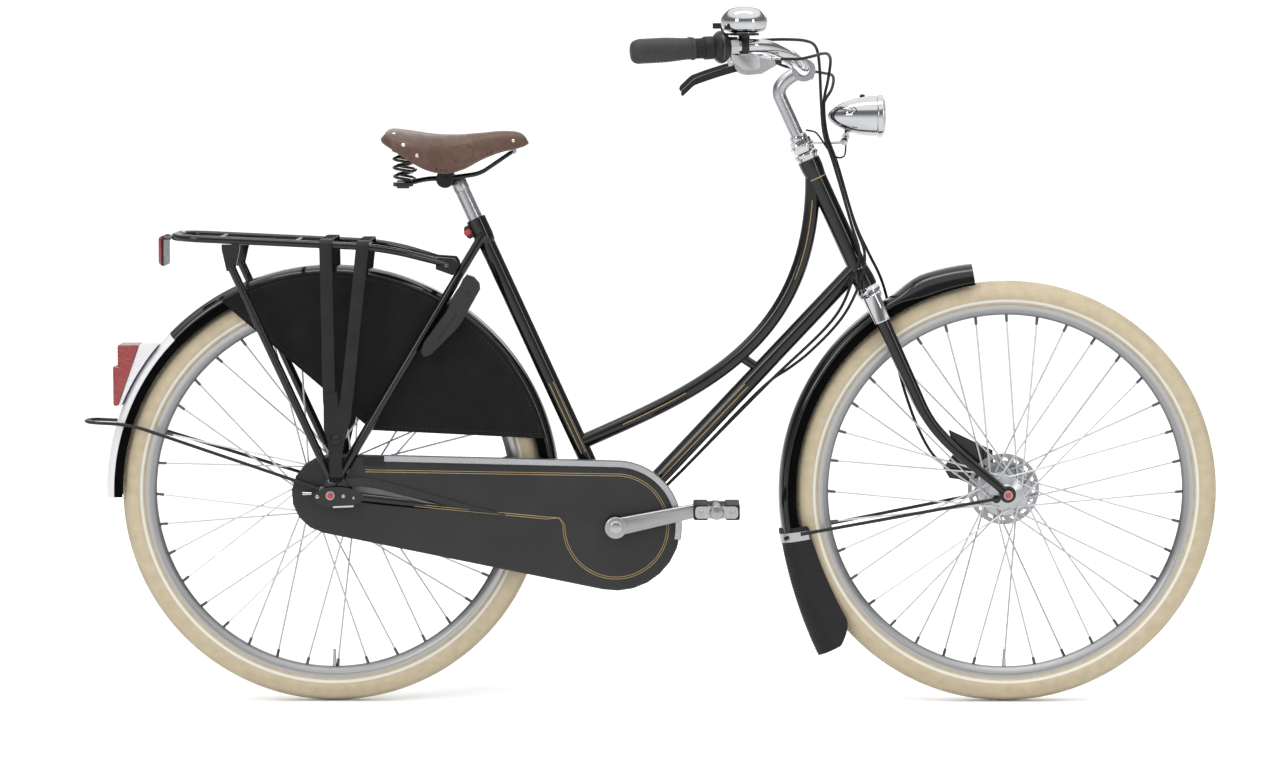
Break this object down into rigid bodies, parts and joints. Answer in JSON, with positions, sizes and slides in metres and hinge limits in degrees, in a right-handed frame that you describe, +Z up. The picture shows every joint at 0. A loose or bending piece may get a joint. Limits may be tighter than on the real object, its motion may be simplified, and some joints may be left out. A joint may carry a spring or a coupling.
{
  "type": "city bicycle",
  "caption": "Upright city bicycle with a low swan-neck frame, swept bar, closed chain case, coat guards, rack, fenders, ring lock and bullet headlamp.",
  "frame": {"origin": "on the ground, in the bicycle's middle plane, halfway along its whole length", "axes": "+X forward, +Y to the rider's left, +Z up"},
  "size_m": [1.8934, 0.644, 1.16],
  "materials": {
    "gloss_black": "gloss black enamel",
    "case_grey": "satin charcoal with a thin gold line",
    "chrome": "polished",
    "alloy": "satin",
    "steel": "zinc plated",
    "cream_tyre": "cream with a thin white stripe",
    "black_rubber": "matte",
    "black_plastic": "matte",
    "brown_leather": "worn satin",
    "red_plastic": "reflective",
    "white_paint": "gloss white",
    "guard_vinyl": "matte vinyl",
    "lamp_glass": "clear ribbed"
  },
  "bodies": {
    "frame": {"main_frame": "gloss_black", "upper_headset_cup": "chrome", "lower_headset_cup": "chrome", "chain": "steel", "chain_case": "case_grey", "chain_case_trim": "chrome", "rear_fender": "gloss_black", "rear_fender_tail": "white_paint", "tail_light": "red_plastic", "rear_fender_stays": "gloss_black", "coat_guard_right": "guard_vinyl", "coat_guard_left": "guard_vinyl", "luggage_rack": "gloss_black", "luggage_straps": "black_rubber", "rack_strut_right": "gloss_black", "rack_strut_left": "gloss_black", "rear_reflector": "red_plastic", "ring_lock": "gloss_black", "rear_axle": "steel", "gear_cable": "black_rubber", "rear_brake_cable": "black_rubber"},
    "seat": {"seat_post": "chrome", "saddle_leather": "brown_leather", "saddle_spring_right": "gloss_black", "saddle_spring_left": "gloss_black"},
    "steering": {"fork": "gloss_black", "crown_shroud": "chrome", "lamp_bracket": "chrome", "headlamp": "chrome", "headlamp_lens": "lamp_glass", "stem": "chrome", "handlebar": "chrome", "grip_right": "black_rubber", "grip_left": "black_rubber", "shifter_housing": "black_plastic", "brake_bracket_right": "alloy", "brake_bracket_left": "alloy", "bell": "chrome", "front_fender": "gloss_black", "front_fender_stays": "steel", "mud_flap": "black_rubber", "front_axle": "steel", "front_brake_cable": "black_rubber"},
    "front_wheel": {"front_tyre": "cream_tyre", "front_rim": "alloy", "front_hub": "steel"},
    "rear_wheel": {"rear_tyre": "cream_tyre", "rear_rim": "alloy", "rear_hub": "steel"},
    "sprocket": {"rear_sprocket": "steel"},
    "crank_set": {"right_crank": "alloy", "left_crank": "alloy"},
    "right_pedal": {"right_pedal": "black_rubber"},
    "left_pedal": {"left_pedal": "black_rubber"},
    "right_brake_lever": {"brake_lever_right": "black_plastic"},
    "left_brake_lever": {"brake_lever_left": "black_plastic"},
    "twist_shifter": {"twist_shifter": "black_rubber"},
    "bell_lever": {"bell_lever": "black_plastic"},
    "kickstand": {"kickstand": "gloss_black"},
    "lock_bolt": {"ring_lock_bolt": "chrome"}
  },
  "joints": [
    {"name": "steering_turn", "type": "hinge", "parent": "frame", "child": "steering", "pos_m": [0.36016, 0, 0.69575], "axis": [-0.4179, 0, 0.9085], "range_deg": [-60, 60], "deforming": ["gear_cable", "rear_brake_cable"]},
    {"name": "seat_height", "type": "slide", "parent": "frame", "child": "seat", "axis": [-0.4179, 0, 0.9085], "range_m": [-0.045, 0.06]},
    {"name": "front_wheel_spin", "type": "hinge", "parent": "steering", "child": "front_wheel", "pos_m": [0.59375, 0, 0.353], "axis": [0, 1, 0], "continuous": true},
    {"name": "rear_wheel_spin", "type": "hinge", "parent": "frame", "child": "rear_wheel", "pos_m": [-0.53075, 0, 0.353], "axis": [0, 1, 0], "continuous": true},
    {"name": "crank_turn", "type": "hinge", "parent": "frame", "child": "crank_set", "pos_m": [-0.05735, 0, 0.2997], "axis": [0, 1, 0], "continuous": true},
    {"name": "sprocket_turn", "type": "hinge", "parent": "frame", "child": "sprocket", "pos_m": [-0.53075, 0, 0.353], "axis": [0, 1, 0], "continuous": true},
    {"name": "right_pedal_spin", "type": "hinge", "parent": "crank_set", "child": "right_pedal", "pos_m": [0.10894, 0, 0.33504], "axis": [0, 1, 0], "continuous": true},
    {"name": "left_pedal_spin", "type": "hinge", "parent": "crank_set", "child": "left_pedal", "pos_m": [-0.22364, 0, 0.26436], "axis": [0, 1, 0], "continuous": true},
    {"name": "right_brake_pull", "type": "hinge", "parent": "steering", "child": "right_brake_lever", "pos_m": [0.14647, -0.26541, 1.06371], "axis": [-0.225, 0.9744, 0], "range_deg": [0, 14], "stiffness_Nm_per_rad": 3, "springref_deg": -11.46},
    {"name": "left_brake_pull", "type": "hinge", "parent": "steering", "child": "left_brake_lever", "pos_m": [0.14647, 0.26541, 1.06371], "axis": [0.225, 0.9744, 0], "range_deg": [0, 14], "stiffness_Nm_per_rad": 3, "springref_deg": -11.46},
    {"name": "shifter_twist", "type": "hinge", "parent": "steering", "child": "twist_shifter", "pos_m": [0.08494, -0.27962, 1.09345], "axis": [0.973, 0.2246, 0.0523], "range_deg": [-35, 70]},
    {"name": "bell_lever_push", "type": "hinge", "parent": "steering", "child": "bell_lever", "pos_m": [0.15014, -0.26456, 1.11295], "axis": [0, 0, 1], "range_deg": [0, 20], "stiffness_Nm_per_rad": 0.2, "springref_deg": -11.46},
    {"name": "kickstand_swing", "type": "hinge", "parent": "frame", "child": "kickstand", "pos_m": [-0.128, 0.0255, 0.2763], "axis": [0, -1, 0], "range_deg": [0, 104]},
    {"name": "lock_bolt_slide", "type": "hinge", "parent": "frame", "child": "lock_bolt", "pos_m": [-0.34264, 0, 0.63744], "axis": [-0.829, 0, 0.5592], "range_deg": [0, 92]}
  ],
  "couplings": [
    {"joint": "sprocket_turn", "follows": "crank_turn", "ratio": 2}
  ]
}
